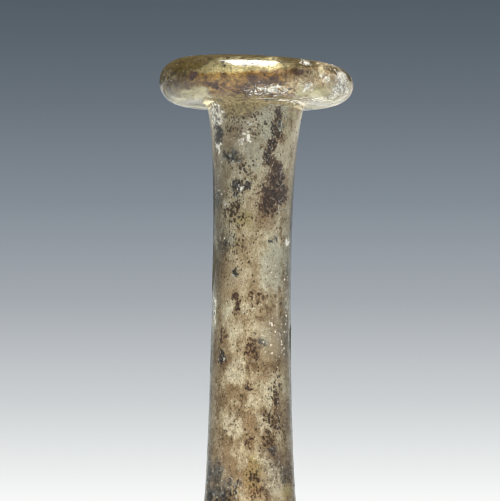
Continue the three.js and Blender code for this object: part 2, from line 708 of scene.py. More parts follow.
class Tone(Enum):
    """What a stain is of; its value names the number that the mesh carries for it.

    In the bore these are colours of the crust. Outside, olive is a film of patina and, in places, painted
    shade, cream is dust, sparkle is pits with painted glints, and flakes and specks say where small bits lie.
    """

    BLACK = "black"
    BROWN = "brown"
    RUST = "rust"
    CREAM = "cream"
    FROST = "frost"
    OLIVE = "olive"
    SPECKS = "specks"
    SPARKLE = "sparkle"
    FLAKES = "flakes"


@dataclass(frozen=True)
class Stain:
    """A patch of one tone on the wall of the glass.

    azimuth: Degrees round the axis, from the front towards +X.
    height, across, up: Its middle and its half widths, in millimetres.
    strength: How strongly it shows in its middle.
    fade: Where it ends, in half widths; it is whole up to one half width before that.
    """

    azimuth: float
    height: float
    across: float
    up: float
    strength: float = 1.0
    fade: float = 1.5

    def cover(self, azimuths: np.ndarray, heights: np.ndarray, radii: np.ndarray) -> np.ndarray:
        """How strongly the stain shows at each point.

        Args:
            azimuths: Of the points, in degrees.
            heights: Of the points, in metres.
            radii: Their distances from the axis, in metres.

        Returns:
            From 0 to the stain's strength.
        """
        turn = (azimuths - self.azimuth + 180) % 360 - 180
        along = np.radians(turn) * radii / (self.across * MM)
        rise = (heights - self.height * MM) / (self.up * MM)
        share = np.clip(self.fade - np.hypot(along, rise), 0, 1)
        return self.strength * share * share * (3 - 2 * share)


StainRows = dict[Tone, tuple[tuple[float, ...], ...]]

# Each row: azimuth, height, across, up and, where it isn't 1, the strength
BORE_STAINS: StainRows = {
    Tone.BROWN: (
        (40, 128.6, 0.8, 2), (48, 125, 1, 1.2, 0.8), (33, 123, 0.8, 1.6), (26, 120.3, 1.1, 1.6),
        (42, 118.6, 1.4, 1.6), (50, 116.6, 1.7, 1.6), (50, 113.6, 3.3, 2.6), (33, 110.6, 1.9, 2.2),
        (-24, 129, 3, 1.2, 0.35), (-34, 92.7, 0.6, 1.4, 0.8), (-29, 90.4, 0.7, 1.1, 0.9),
        (12, 92.2, 1.8, 1.6, 0.45), (-64, 84.7, 1.1, 2, 0.5), (24, 89.5, 2.6, 2, 0.32),
        (5, 82.3, 1.3, 1.9, 0.7), (-3, 74.6, 0.9, 1, 0.7), (57, 71.6, 0.6, 1.7, 0.7),
        (0, 63.6, 1, 1, 0.6), (-52, 60.4, 0.5, 1, 0.6), (13, 53.6, 2, 1.4, 0.45),
    ),
    Tone.BLACK: (
        (42, 126, 1.1, 1.5), (-80, 125.3, 1.6, 2.4), (-46, 120.7, 2, 1.1), (-37, 114.2, 0.9, 1.6),
        (-14, 114.6, 0.9, 0.7), (-97, 112.5, 1.1, 1.8, 0.8), (-62, 103.4, 0.7, 1, 0.8),
        (50, 104, 0.8, 0.6, 0.8), (-33, 97.1, 0.5, 0.5), (-66, 80.6, 0.9, 1.2, 0.8),
        (21, 83.5, 0.6, 0.6), (44, 61.8, 0.8, 0.8, 0.9), (-64, 53.2, 4, 2, 0.8),
        (-100, 56.6, 1.4, 3.4, 0.9), (-68, 57.4, 1.4, 2.6, 0.9), (-40, 55.4, 2.4, 1.6, 0.45),
        (70, 57, 1.2, 1.8, 0.5),
    ),
    Tone.RUST: (
        (50, 114, 4, 4.2, 0.4), (28, 108, 2.2, 2.4, 0.8), (50, 124.2, 1.6, 1, 0.7),
        (-40, 125.4, 1.8, 1.6, 0.8), (-55, 95.8, 3.3, 3.6, 0.9), (2, 95.4, 1.2, 1.9, 0.6),
        (27, 76.5, 1.7, 0.9, 0.7), (-40, 73.6, 1.7, 1.6, 0.6), (1, 67.4, 0.9, 2.4, 0.8),
        (6, 58, 2.2, 1.6, 0.8), (2, 56.4, 3.2, 3.6, 0.8), (-50, 60.2, 1, 2), (-34, 58.4, 2, 2, 0.6),
    ),
    Tone.SPECKS: (
        (-20, 118.1, 1.8, 1.9), (-28, 114.6, 1.8, 1.4), (-14, 127.4, 4.6, 3, 0.8),
        (-52, 110, 3, 4, 0.8), (-60, 104.1, 2.8, 3.6), (-30, 108.2, 2, 2, 0.8), (56, 74, 1.5, 3.4),
        (55, 66, 3.2, 5, 0.7), (90, 57.4, 2.4, 2.8), (50, 58, 3, 3, 0.8), (24, 55, 3.4, 2.6, 0.8),
    ),
    Tone.CREAM: (
        (24, 116.6, 0.9, 1.9), (5, 117.4, 1.7, 5), (-30, 122.8, 1.4, 1.2, 0.7),
        (-2, 125.6, 3.4, 4, 0.55), (-50, 127.4, 2, 3, 0.8), (80, 127, 2, 3.4, 0.7), (68, 122, 1.3, 4.4),
        (44, 104.7, 2.7, 2.4, 0.8), (-12, 90, 1.4, 1.2, 0.8), (-34, 84.6, 1.6, 3, 0.5),
        (-30, 77.5, 1.7, 2.2), (35, 73, 1.3, 2), (-32, 67.2, 2, 2.6), (30, 67.6, 1.8, 2.8, 0.8),
        (-8, 71.6, 1.6, 1.6, 0.6), (21, 61.2, 0.9, 1.8, 0.9), (-16, 58.8, 0.9, 1), (42, 56.6, 2.4, 3.6),
    ),
    Tone.FROST: (
        (20, 126.6, 1.7, 3.8, 0.9), (0, 121, 1.5, 4, 0.7), (45, 131.5, 2.6, 1.6), (38, 129.6, 1.9, 2),
        (-46, 104.2, 1.1, 1.4, 0.8), (52, 98.4, 2.8, 5), (84, 101, 1.6, 5, 0.8), (6, 80, 0.8, 0.8, 0.8),
    ),
    Tone.OLIVE: (
        (-38, 131, 5, 2.4), (10, 131.5, 2, 1.4, 0.7), (-20, 108, 1.6, 2.2, 0.7),
        (18, 60.9, 0.9, 1.8, 0.6), (8, 57.4, 1.8, 3, 0.9), (80, 54, 2.2, 1.6, 0.9),
    ),
}

OUTSIDE_STAINS: StainRows = {
    # Some olive rows are painted shade: the one along the crown at height 139.7 stands for the dark line at
    # the rim's top edge, and those at azimuths -98 to -86 and 86 to 96 darken the neck's sides
    Tone.OLIVE: (
        (-18, 139.7, 12, 0.9), (-50, 138.6, 7, 2, 1.25), (-66, 136.6, 3, 2.6, 0.5),
        (30, 138.5, 5, 1.2, 1.1), (54, 137.5, 3.4, 1), (74, 137, 3, 1.2), (-80, 137, 4, 2.4, 0.8),
        (-88, 111, 2.4, 8, 0.9), (-88, 99, 3, 6), (-86, 81, 1.6, 4, 0.6), (-98, 66, 2.4, 9, 0.5),
        (86, 84, 1.8, 4, 0.9), (96, 62, 2.4, 10, 0.6), (150, 118, 5, 8, 0.7), (-150, 76, 5, 12, 0.7),
    ),
    Tone.CREAM: (
        (-16, 130.9, 7, 0.8), (40, 130.9, 4, 0.7, 0.8), (-22, 129.6, 4, 1.4, 0.5),
    ),
    Tone.BLACK: (
        (-40, 135.4, 0.8, 0.7, 1.8), (-25, 133, 0.8, 0.7, 1.8), (9, 134.6, 0.4, 0.4, 1.8),
        (26, 136, 0.4, 0.4, 1.8), (31, 136.2, 0.3, 0.3, 1.8), (64, 135.4, 2.6, 1.4, 0.6),
        (-6, 132.3, 3, 1, 0.85), (10, 132.2, 4, 0.9, 0.7), (57, 133.6, 1.8, 1.4, 0.7),
    ),
    # Two frost rows are painted highlights: the one at azimuth -66, height 89.6, stands for the glint on the
    # neck's left edge, and the one at azimuth 33, height 138.2, for glints on the rim
    Tone.FROST: (
        (8, 132.4, 4, 0.9, 0.56), (32, 133.4, 1.3, 0.9, 0.8), (60, 134.4, 2.4, 2.2, 1.1),
        (45, 135.4, 1.6, 1, 0.55), (66, 135.8, 1.8, 1, 0.9), (33, 138.2, 1.2, 0.4, 0.9),
        (48, 131.3, 5, 0.5, 0.6), (-56, 122.2, 0.9, 0.9, 0.8), (-47, 111, 0.5, 0.5, 0.9),
        (-19, 114, 0.7, 0.7, 0.7), (-9, 126.6, 0.8, 0.8, 0.6), (-13, 123.4, 1.2, 1.3, 0.55),
        (60, 103.8, 0.8, 1.4, 0.6), (84, 131.2, 4, 0.6, 0.7), (-66, 89.6, 0.5, 2.2, 1.6),
        (72, 133.4, 2, 1.6, 0.8), (-60, 128.9, 2.6, 2.2, 0.9),
    ),
    Tone.SPARKLE: (
        (28, 85, 2.4, 4.4), (50, 84, 1.2, 4), (35, 57, 3, 5, 0.7), (30, 98, 2, 4, 0.7), (62, 92, 1, 8),
        (-58, 117, 2, 6, 0.8), (-16, 123, 3, 3, 0.7), (-46, 104, 2, 3, 0.7), (-40, 58, 3, 4, 0.6),
    ),
    # The flake rows at azimuth -66, height 89.4, and at azimuth 33, height 138.2, are painted highlights too:
    # pale bits put where glints show
    Tone.FLAKES: (
        (6, 132.5, 4.2, 1.1), (32, 133.4, 1.4, 1), (60, 134.6, 2.8, 2.4, 1.9), (33, 138.2, 1.4, 0.6, 1),
        (52, 137.6, 2.4, 0.6, 0.8), (60, 137.2, 1.4, 0.9, 0.6), (22, 122.6, 2.6, 3.6, 0.35),
        (-14, 123.4, 2, 2.4, 0.4), (-68, 135, 4, 2.4, 0.25), (-56, 128.8, 2.4, 2, 0.8),
        (-66, 89.4, 0.7, 2.4, 1.6), (76, 134, 2.4, 2, 0.7),
    ),
    Tone.SPECKS: (
        (-40, 135.4, 1.4, 1.2), (6, 135, 4, 1.4, 0.6), (-62, 136.4, 3.6, 2.4, 1.8),
        (-12, 108, 3, 3, 0.5), (-38, 104, 3, 2.4, 0.7), (36, 66, 3, 6, 0.6), (58, 57, 3, 3, 0.9),
        (-50, 54, 4, 3, 0.6),
    ),
}

# How thinly these lie all over the outside above the belly
EVERYWHERE = {Tone.SPECKS: 0.08, Tone.FLAKES: 0.003}


@dataclass(frozen=True)
class ClearGlass:
    """Free-blown greenish-yellow glass. Light passes it on its way to what lies behind."""

    tint: Colour = (0.89, 0.885, 0.74, 1.0)
    light_tint: Colour = (0.97, 0.975, 0.93, 1.0)
    bending: float = 1.55

    def shader(self, board: Board, roughness: Wire, normal: Wire) -> Wire:
        """The glass's shader on a material's board.

        Args:
            board: The material's board.
            roughness: Of its surface.
            normal: Its fine relief.

        Returns:
            The shader.
        """
        glass = board.add(
            "ShaderNodeBsdfPrincipled",
            sockets={
                "Base Color": self.tint,
                "Roughness": roughness,
                "IOR": self.bending,
                "Transmission Weight": 1.0,
                "Normal": normal,
            },
        )
        passing = board.add("ShaderNodeBsdfTransparent", sockets={"Color": self.light_tint})
        shadow = board.add("ShaderNodeLightPath", output="Is Shadow Ray")
        return board.layer(shadow, glass, passing)


@dataclass(frozen=True)
class OuterFinish:
    """The outside: glossy glass with fine pits, under patina that is partly painted shade, dust, dark earth,
    frost and painted glints.

    Sizes are in millimetres, and pairs of colours run from dark to light.
    """

    glass: ClearGlass = field(default_factory=ClearGlass)
    cloud_size: float = 4.0
    fine_size: float = 0.5
    grit_size: float = 0.18
    crumb_size: float = 0.48
    glint_spacing: float = 0.6
    relief_depth: float = 0.14
    frost_depth: float = 0.1
    # Patina colours, which also paint the shade that the olive stains lay on the crown's edge and the neck's
    # sides
    patina: tuple[Colour, Colour] = (paint(36, 28, 10), paint(84, 70, 34))
    dust: tuple[Colour, Colour] = (paint(124, 110, 80), paint(164, 150, 116))
    dark_earth: tuple[Colour, Colour] = (paint(30, 20, 24), paint(84, 62, 54))
    # Painted highlight: the colour of the pale dots that stand for glints of light
    painted_glint: Colour = paint(244, 234, 218)
    frost: Stops = stops(
        (0.0, 58, 50, 46), (0.22, 116, 112, 108), (0.45, 184, 182, 174), (0.7, 230, 226, 212),
        (1.0, 250, 248, 240),
    )

    def material(self) -> bpy.types.Material:
        """Makes the material."""
        board = Dressing("outer_glass")
        spot = board.place()
        bent = board.warped(spot, self.fine_size, self.fine_size / 2)
        cloud = board.noise(spot, self.cloud_size, 3)
        fine = board.noise(spot, self.fine_size, 4, 0.65)
        grit = board.noise(spot, self.grit_size, 2, 0.6)
        crumb = board.crumbs(bent, self.crumb_size)
        mottle = fine.smooth(0.4, 0.6)
        film, dust = board.attribute(Tone.OLIVE.value), board.attribute(Tone.CREAM.value)
        black, frost = board.attribute(Tone.BLACK.value), board.attribute(Tone.FROST.value)
        sparkle = board.attribute(Tone.SPARKLE.value)

        pits = grit.smooth(0.5, 0.68) * (0.05 + sparkle)
        relief = board.bump(cloud * 0.5 + fine * 0.08 + pits * 0.4, self.relief_depth * MM)
        crusty = board.bump(crumb + grit, self.frost_depth * MM)
        surface = self.glass.shader(board, 0.04 + cloud.smooth(0.42, 0.66) * 0.07, relief)
        thick = film * (0.85 + (fine - 0.5) * 2.4 + (cloud - 0.5) * 1.6)
        loose = (crumb - 0.5) * 0.7 + (fine - 0.5) * 2.4
        layers = (
            (
                # Patina film, and painted shade at the crown's edge and the neck's sides
                thick.smooth(0.0, 0.8) * 0.94,
                board.matter(board.blend(mottle, *self.patina), 0.5, 0.1, relief),
            ),
            (
                (dust * (1 + (fine - 0.5) * 3)).smooth(0.0, 0.7) * 0.9,
                board.matter(board.blend(mottle, *self.dust), 0.8, 0.1),
            ),
            (
                (black + loose).smooth(0.5, 0.6) * black.smooth(0.0, 0.2),
                board.matter(board.blend(crumb, *self.dark_earth), 0.5),
            ),
            (
                (frost + loose).smooth(0.55, 0.62) * frost.smooth(0.0, 0.2),
                board.matter(board.ramp(crumb, self.frost), 0.45, normal=crusty),
            ),
            (
                # Painted highlight: pale dots where the sparkle stains are, standing for glints of light on
                # the pitted glass
                board.dots(bent, self.glint_spacing, sparkle * 0.5 - 0.3, 0.9) * sparkle.smooth(0.0, 0.2),
                board.matter(self.painted_glint, 0.3),
            ),
        )
        for share, coat in layers:
            surface = board.layer(share, surface, coat)
        return board.finish(surface)


@dataclass(frozen=True)
class BoreFinish:
    """The inner wall: a mottled earthy crust in the neck that thins to bare glass in the body.

    Sizes are in millimetres. Each tint has its stains' tone, its colour and how much it hides.
    """

    glass: ClearGlass = field(default_factory=ClearGlass)
    streaking: Triple = (1.0, 1.0, 0.62)
    cloud_size: float = 6.0
    patch_size: float = 2.2
    fine_size: float = 0.6
    grit_size: float = 0.17
    crumb_size: float = 0.36
    crust_depth: float = 0.08
    glass_depth: float = 0.1
    # Between these heights the crust turns paler: painted light standing for more light on the upper neck
    painted_light_heights: tuple[float, float] = (60.0, 120.0)
    crusting_heights: tuple[float, float] = (26.0, 58.0)
    ground: Stops = stops(
        (0.36, 134, 108, 80), (0.44, 166, 143, 115), (0.5, 192, 173, 147), (0.56, 212, 199, 178),
        (0.64, 226, 222, 210),
    )
    veil: Colour = paint(112, 90, 66)
    tints: tuple[tuple[Tone, Colour, float], ...] = (
        # The olive tint is partly painted light: it is made pale so that the olive stain under the rim, where
        # shade falls, shows bright
        (Tone.OLIVE, paint(178, 162, 112), 0.75),
        (Tone.CREAM, paint(224, 214, 196), 0.7),
        (Tone.FROST, paint(210, 210, 202), 0.7),
        (Tone.RUST, paint(152, 118, 84), 0.55),
    )
    umber: Stops = stops(
        (0.0, 40, 26, 22), (0.6, 72, 48, 38), (0.9, 104, 78, 62), (1.0, 156, 134, 112),
    )
    # Dark soot crumbs; the blue-grey to white top end paints glints: painted highlight among the dark crumbs
    soot_and_glints: Stops = stops(
        (0.0, 20, 16, 16), (0.7, 46, 40, 42), (0.86, 92, 96, 104), (0.95, 160, 166, 174),
        (1.0, 232, 232, 228),
    )
    round_soot: Colour = paint(96, 80, 66)
    round_umber: Colour = paint(146, 110, 72)
    dark_speck: Colour = paint(58, 38, 18)
    # Painted highlight: the colour of the pale specks that stand for glints
    painted_glint_speck: Colour = paint(236, 230, 214)

    def material(self) -> bpy.types.Material:
        """Makes the material."""
        board = Dressing("bore_crust")
        spot = board.place()
        streaked = board.stretch(spot, self.streaking)
        bent = board.warped(streaked, self.patch_size / 2, self.patch_size / 4)
        cloud = board.noise(spot, self.cloud_size, 2)
        patch = board.noise(bent, self.patch_size, 2)
        fine = board.noise(streaked, self.fine_size, 4, 0.7)
        grit = board.noise(streaked, self.grit_size, 2, 0.6)
        height = board.part(spot, "Z")
        colour = self.mottled(board, cloud, patch, fine, height)
        ragged = 1 + (patch - 0.5) * 3.6 + (fine - 0.5) * 4.0
        for tone, tint, share in self.tints:
            cover = (board.attribute(tone.value) * ragged).smooth(0.1, 0.95)
            colour = board.blend(cover * share, colour, tint)
        colour = self.darkened(board, colour, bent, fine)
        colour = self.specked(board, colour, streaked, patch)
        colour = board.grained(colour, grit * 0.65 + fine * 0.35, 0.56, 1.16)
        relief = board.bump(fine + grit * 0.5, self.crust_depth * MM)
        crust = board.matter(colour, 0.8, 0.2, relief)
        glass = self.glass.shader(board, 0.05 + fine * 0.12, board.bump(patch, self.glass_depth * MM))
        lasting = cloud * 0.5 + patch * 0.4 + fine * 0.2 + height.smooth(*self.crusting_heights) * 0.4
        return board.finish(board.layer(lasting.smooth(0.5, 0.68), glass, crust))

    def mottled(self, board: Board, cloud: Wire, patch: Wire, fine: Wire, height: Wire) -> Wire:
        """The crust's colour, made paler higher up as painted light, and with a thin brown veil in places.

        Args:
            board: The material's board.
            cloud, patch, fine: Noise from coarse to fine.
            height: In millimetres.

        Returns:
            The colour.
        """
        # Painted light: the crust is paler higher up, standing for more light reaching the upper neck
        painted_upper_light = height.smooth(*self.painted_light_heights) * 0.08 - 0.04
        colour = board.ramp(cloud * 0.25 + patch * 0.36 + fine * 0.39 + painted_upper_light, self.ground)
        brown = (fine * 0.9 + (0.5 - patch) * 0.6 + (0.5 - cloud) * 0.4).smooth(0.46, 0.52)
        return board.blend(brown * 0.22, colour, self.veil)

    def darkened(self, board: Board, under: Wire, bent: Wire, fine: Wire) -> Wire:
        """Lays the brown and black stains over the crust, grainy and each with a paler rim; the black ones
        hold painted glints.

        Args:
            board: The material's board.
            under: The colour below.
            bent: Where the grains are read.
            fine: Fine noise that breaks the edges.

        Returns:
            The new colour.
        """
        crumb = board.crumbs(bent, self.crumb_size)
        loose = crumb - 0.5 + (fine - 0.5) * 2.8
        brown, black = board.attribute(Tone.BROWN.value), board.attribute(Tone.BLACK.value)
        in_brown, in_black = brown.smooth(0.0, 0.2), black.smooth(0.0, 0.2)
        umber, soot_and_glints = board.ramp(crumb, self.umber), board.ramp(crumb, self.soot_and_glints)
        colour = board.blend((black + loose * 0.4).smooth(0.1, 0.7) * 0.6, under, self.round_soot)
        around = (brown + loose * 0.6).smooth(0.1, 0.6) * in_brown
        colour = board.blend(around * 0.7, colour, self.round_umber)
        colour = board.blend((brown + loose * 0.7).smooth(0.48, 0.58) * in_brown, colour, umber)
        return board.blend((black + loose * 1.3).smooth(0.44, 0.52) * in_black, colour, soot_and_glints)

    def specked(self, board: Board, under: Wire, streaked: Wire, patch: Wire) -> Wire:
        """Strews dark specks, and pale specks that are painted glints, over the crust, thick where its
        speckled stains are.

        Args:
            board: The material's board.
            under: The colour below.
            streaked: Where the specks are read.
            patch: Patchy noise that gathers them.

        Returns:
            The new colour.
        """
        often = board.attribute(Tone.SPECKS.value) * 0.36 + (0.5 - patch) * 0.7 + 0.1
        large = board.dots(streaked, 0.8, often - 0.24, 0.8)
        small = board.dots(streaked, 0.4, often, 0.9)
        # Painted highlight: pale specks that stand for glints
        pale = board.dots(streaked, 0.5, -0.02 - often * 0.5, 1.0)
        colour = board.blend(pale * 0.7, under, self.painted_glint_speck)
        return board.blend(large.most(small) * 0.9, colour, self.dark_speck)


@dataclass(frozen=True)
class FoldFinish:
    """The earth in the rim's fold: golden brown, darker to the left and creamy to the right, with painted
    light on its top and on its lower part.

    Sizes are in millimetres. Its patterns follow the ring round the throat, and are read nearer the
    axis by the throat's radius, which draws them out along the ring.
    """

    throat_radius: float = 8.4
    patch_size: float = 2.4
    streak_size: float = 1.8
    fine_size: float = 0.6
    grit_size: float = 0.16
    speck_spacing: float = 0.42
    depth: float = 0.15
    # Above this height the top of the earth carries painted light
    crown_height: float = 136.0
    # Below this height, and higher towards the sides, the earth is painted pale: painted light that stands
    # for light seen through clear glass
    painted_through_light_height: float = 132.9
    left_fade: tuple[float, float] = (7.5, 12.5)
    right_fade: tuple[float, float] = (5.0, 10.0)
    painted_through_light_left_fade: tuple[float, float] = (6.5, 9.0)
    painted_through_light_right_fade: tuple[float, float] = (7.5, 10.5)
    golden: Stops = stops(
        (0.38, 84, 48, 24), (0.46, 148, 106, 48), (0.54, 192, 152, 78), (0.62, 222, 192, 122),
    )
    # Pale streaky colours of painted light, standing for light seen through the clear glass under the rim
    clear: Stops = stops(
        (0.4, 170, 160, 116), (0.48, 206, 196, 156), (0.54, 230, 222, 188), (0.6, 246, 240, 214),
    )
    dark: tuple[Colour, Colour] = (paint(34, 28, 18), paint(112, 98, 56))
    creamy: tuple[Colour, Colour] = (paint(210, 176, 140), paint(230, 218, 194))
    # Colours of the painted light on the top of the earth, from dark to light
    painted_top_light: tuple[Colour, Colour] = (paint(240, 212, 140), paint(255, 250, 216))
    speck: Colour = paint(50, 28, 22)

    def material(self) -> bpy.types.Material:
        """Makes the material."""
        board = Dressing("fold_earth")
        spot = board.place()
        x = board.part(spot, "X")
        y, height = x.other("Y"), x.other("Z")
        radius = (x * x + y * y) ** 0.5
        pull = (radius - self.throat_radius) / radius
        flowing = board.vector(x * pull, y * pull, height)
        bent = board.warped(flowing, self.patch_size / 2, 0.7)
        patch = board.noise(bent, self.patch_size, 3, 0.6)
        fine = board.noise(flowing, self.fine_size, 4, 0.7)
        grit = board.noise(flowing, self.grit_size, 2, 0.6)
        streak = board.noise(board.stretch(bent, (0.5, 0.5, 1.5)), self.streak_size, 2)
        uneven = patch - 0.5

        left = (x * -1 + uneven * 20).smooth(*self.left_fade)
        right = (x + uneven * 16).smooth(*self.right_fade)
        # Painted light: the top of the earth turns pale gold, standing for light that the curved glass above
        # gathers onto it
        high = (height - self.crown_height + uneven * 3).smooth(-0.3, 0.5)
        # Painted light: the low part of the earth, more of it towards the sides, turns pale and streaky,
        # standing for light seen through the clear glass
        away = x.smooth(*self.painted_through_light_right_fade).most((x * -1).smooth(*self.painted_through_light_left_fade))
        low = (self.painted_through_light_height - height + away * 1.7 + uneven * 4).smooth(-0.3, 0.6)
        specks = board.dots(flowing, self.speck_spacing, uneven * 1.8, 0.9)
        layers = (
            (high * 0.9, board.blend(fine, *self.painted_top_light)),
            (left * 0.8, board.blend(fine.smooth(0.42, 0.6), *self.dark)),
            (right * 0.9, board.blend(fine.smooth(0.4, 0.6), *self.creamy)),
            (low, board.ramp(streak, self.clear)),
            (specks * (1 - low) * 0.9, self.speck),
        )
        colour = board.ramp(patch * 0.7 + fine * 0.3, self.golden)
        for share, over in layers:
            colour = board.blend(share, colour, over)
        colour = board.grained(colour, grit * 0.6 + fine * 0.4, 0.5, 1.24, 1.0 - low * 0.6)
        relief = board.bump(fine + grit * 0.5, self.depth * MM)
        return board.finish(board.matter(colour, 0.4, normal=relief))


@dataclass(frozen=True)
class FlakeFinish:
    """Flakes of the decayed skin: white to cream and grey, with a pearly gloss. Sizes in millimetres."""

    fine_size: float = 0.3
    depth: float = 0.05
    colours: Stops = stops(
        (0.0, 136, 136, 134), (0.3, 188, 190, 188), (0.5, 228, 226, 216), (0.8, 232, 224, 198),
        (1.0, 190, 172, 138),
    )

    def material(self) -> bpy.types.Material:
        """Makes the material."""
        board = Dressing("pearly_flakes")
        fine = board.noise(board.place(), self.fine_size, 2)
        colour = board.ramp(board.attribute("shade"), self.colours)
        relief = board.bump(fine, self.depth * MM)
        return board.finish(board.matter(colour, 0.25 + fine * 0.3, normal=relief))


@dataclass(frozen=True)
class GrainFinish:
    """Grains of dark earth stuck to the glass. Sizes in millimetres."""

    fine_size: float = 0.3
    depth: float = 0.05
    colours: Stops = stops(
        (0.0, 40, 28, 18), (0.6, 74, 54, 32), (1.0, 140, 112, 72),
    )

    def material(self) -> bpy.types.Material:
        """Makes the material."""
        board = Dressing("dark_grains")
        fine = board.noise(board.place(), self.fine_size, 2)
        colour = board.ramp(board.attribute("shade") * 0.7 + fine * 0.3, self.colours)
        return board.finish(board.matter(colour, 0.7, 0.1, board.bump(fine, self.depth * MM)))


@dataclass
class GlassVessel:
    """The vessel: one blown body of glass, turned from its outline and left uneven."""

    sizes: VesselSizes = field(default_factory=VesselSizes)
    columns: int = 160
    waviness: float = 0.1 * MM
    pitting: float = 0.06 * MM
    true_reach: float = 4 * MM
    wave_size: float = 9.0
    pit_size: float = 1.6
    wander_size: float = 1.5 * MM
    wander_reach: float = 0.75 * MM
    wander_seed: int = 2

    def outline_mesh(self) -> bpy.types.Mesh:
        """The outline as a row of points that carry whether they are inside."""
        rows = self.sizes.outline()
        mesh = bpy.data.meshes.new("vessel_outline")
        mesh.from_pydata([(radius, 0, height) for radius, height, _ in rows], [], [])
        inside = mesh.attributes.new("inside", "FLOAT", "POINT")
        inside.data.foreach_set("value", [row[2] for row in rows])
        return mesh

    def build(self) -> bpy.types.Object:
        """Turns the outline into the vessel.

        Returns:
            The dressed piece.
        """
        outline = self.outline_mesh()
        recipe = Recipe("turn_vessel")
        rows = recipe.size("Rows", len(outline.vertices))
        columns = recipe.size("Columns", self.columns)
        wave = recipe.size("Waviness", self.waviness)
        pit = recipe.size("Pitting", self.pitting)
        grid, row, x, y = recipe.wrap(columns, rows)
        spot = self.sample(recipe, row, recipe.add("GeometryNodeInputPosition"), "FLOAT_VECTOR")
        inside = self.sample(recipe, row, recipe.carried("inside"), "FLOAT")
        radius = recipe.part(spot, "X")
        height = radius.other("Z")
        true_spot = recipe.in_mm(recipe.vector(radius * x, radius * y, height))
        swell = recipe.noise(recipe.stretch(true_spot, (1, 1, 0.7)), self.wave_size, 1) - 0.75
        dent = recipe.noise(true_spot, self.pit_size, 3).smooth(0.55, 0.75) * (1 - inside)
        free = radius.smooth(0.0, self.true_reach) * height.smooth(0.0, self.true_reach)
        radius = radius + (swell * wave - dent * pit) * free
        place = self.sizes.leave_uneven(recipe, radius * x, radius * y, height)
        closed = recipe.close(recipe.store(grid, "inside", inside), place)
        crusted = recipe.add(
            "FunctionNodeCompare",
            {"data_type": "FLOAT", "operation": "GREATER_THAN"},
            {"A": recipe.carried("inside"), "B": 0.9},
        )
        outer, bore = OuterFinish().material(), BoreFinish().material()
        vessel = recipe.make("glass_vessel", outline, closed, [(outer, True), (bore, crusted)])
        self.stain(vessel.data)
        return vessel

    def sample(self, recipe: Recipe, row: Wire, value: Wire, kind: str) -> Wire:
        """Reads a value of the outline at a row."""
        return recipe.add(
            "GeometryNodeSampleIndex",
            {"data_type": kind},
            {"Geometry": recipe.given(), "Value": value, "Index": row + NUDGE},
        )

    def stain(self, mesh: bpy.types.Mesh) -> None:
        """Writes the strength of each tone's stains onto the mesh's points.

        Args:
            mesh: The vessel's mesh, which carries whether a point is inside.
        """
        count = len(mesh.vertices)
        spots = np.empty(count * 3)
        mesh.vertices.foreach_get("co", spots)
        spots = spots.reshape(-1, 3)
        x, y, z = spots.T
        flags = np.empty(count)
        mesh.attributes["inside"].data.foreach_get("value", flags)
        inside = flags > 0.5
        x = x - self.sizes.centre(z)
        azimuths, radii = np.degrees(np.arctan2(x, -y)), np.hypot(x, y)
        noise.seed_set(self.wander_seed)
        push = np.array([noise.noise_vector(Vector(spot) / self.wander_size) for spot in spots])
        push *= self.wander_reach
        azimuths = azimuths + np.degrees(push[:, 0] / np.maximum(radii, self.sizes.waist_radius / 2))
        heights = z + push[:, 1]
        for tone in Tone:
            strength = EVERYWHERE.get(tone, 0.0) * ~inside * (z > self.sizes.belly_height)
            for stains, here in ((BORE_STAINS, inside), (OUTSIDE_STAINS, ~inside)):
                for row in stains.get(tone, ()):
                    strength = np.maximum(strength, Stain(*row).cover(azimuths, heights, radii) * here)
            layer = mesh.attributes.new(tone.value, "FLOAT", "POINT")
            layer.data.foreach_set("value", strength)


@dataclass
class FoldEarth:
    """The ring of earth that fills the hollow fold inside the rim."""

    sizes: VesselSizes
    ring_radius: float = 13.2 * MM
    ring_height: float = 135.7 * MM
    half_width: float = 2.8 * MM
    half_height: float = 2.9 * MM
    relief: float = 0.5 * MM
    around: int = 200
    across: int = 36
    noise_reach: float = 3 * MM
    noise_rise: float = 2 * MM
    rough_size: float = 2.5
    swell_size: float = 12.0
    swelling: float = 0.5

    def build(self) -> bpy.types.Object:
        """Makes the ring.

        Returns:
            The dressed piece.
        """
        recipe = Recipe("fill_fold")
        around = recipe.size("Around", self.around)
        across = recipe.size("Across", self.across)
        width = recipe.size("Half Width", self.half_width)
        thickness = recipe.size("Half Height", self.half_height)
        relief = recipe.size("Relief", self.relief)
        grid, row, x, y = recipe.wrap(around, across + 1)
        roll = row / across * math.tau
        core = recipe.vector(
            x * self.ring_radius + roll.cosine() * x * self.noise_reach,
            y * self.ring_radius + roll.cosine() * y * self.noise_reach,
            roll.sine() * self.noise_rise,
        )
        core = recipe.in_mm(core)
        rough = recipe.noise(core, self.rough_size, 4) - 0.5
        swell = recipe.noise(core, self.swell_size, 1) - 0.5
        grow = 1 + swell * self.swelling + rough * relief / self.half_height * 2
        radius = self.ring_radius + roll.cosine() * width * grow
        height = self.ring_height + roll.sine() * thickness * grow
        place = self.sizes.leave_uneven(recipe, radius * x, radius * y, height)
        start = bpy.data.meshes.new("fold_start")
        materials = [(FoldFinish().material(), True)]
        return recipe.make("rim_fold_earth", start, recipe.close(grid, place), materials)


